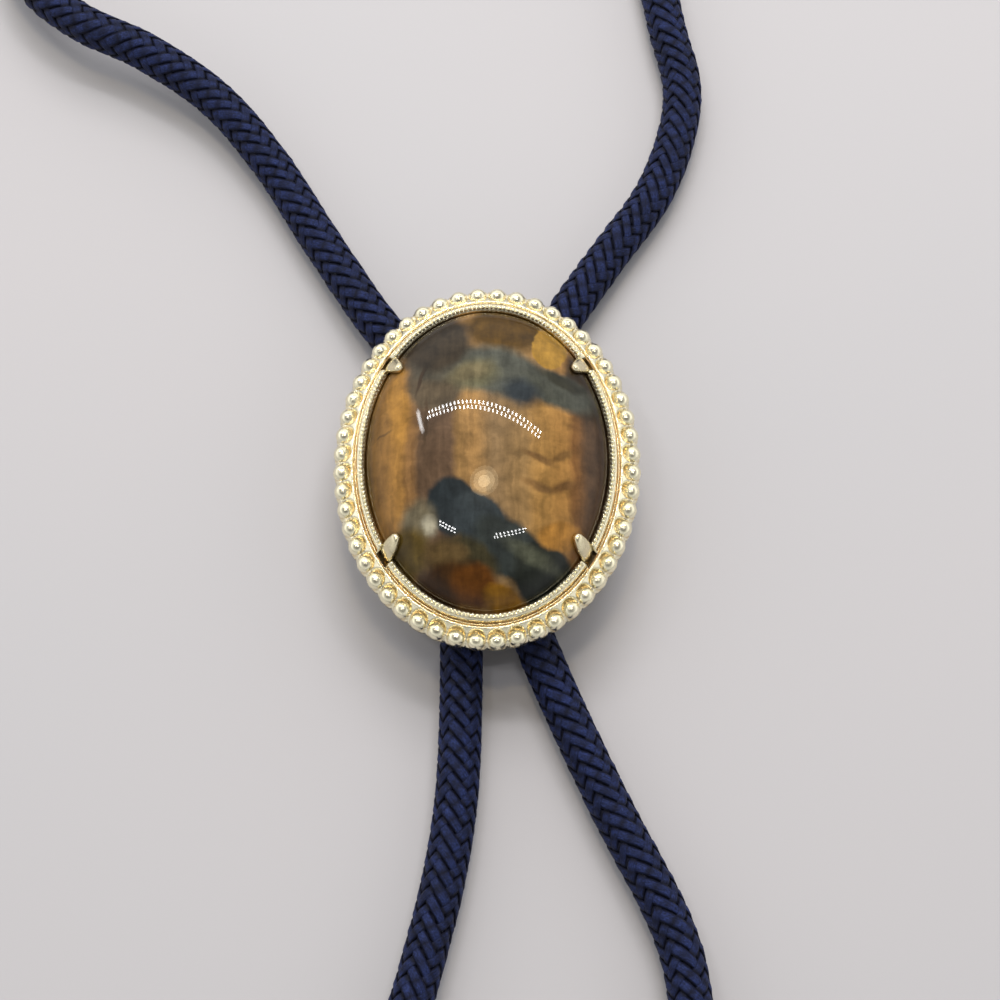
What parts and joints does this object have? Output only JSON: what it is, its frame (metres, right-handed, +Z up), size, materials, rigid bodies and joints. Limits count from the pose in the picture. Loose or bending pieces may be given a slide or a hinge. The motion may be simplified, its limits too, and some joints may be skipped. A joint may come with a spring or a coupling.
{
  "type": "bolo tie",
  "caption": "Bolo tie with an oval domed stone in a beaded gold-coloured slide, on a round braided cord that forms the neck loop and ends in plain metal tips.",
  "frame": {"origin": "on the table under the middle of the slide, level with the underside of the back clip", "axes": "+Z up through the stone, +Y along the slide's length towards the neck loop, +X to the right as the slide faces the viewer"},
  "size_m": [0.0987, 0.2474, 0.0165],
  "materials": {
    "frame_gold": "bright pale gold plate",
    "prong_gold": "bright pale gold plate, a little greyer",
    "tiger_eye": "polished banded brown, gold and grey-green",
    "clip_metal": "satin pale gold plate",
    "navy_braid": "matt braided cord with a faint sheen",
    "tip_gold": "bright pale gold plate"
  },
  "bodies": {
    "root": {"beaded_frame": "frame_gold", "setting_cup": "prong_gold", "cabochon": "tiger_eye", "back_clip": "clip_metal", "braided_cord": "navy_braid", "tip_left": "tip_gold", "tip_right": "tip_gold"}
  },
  "joints": []
}
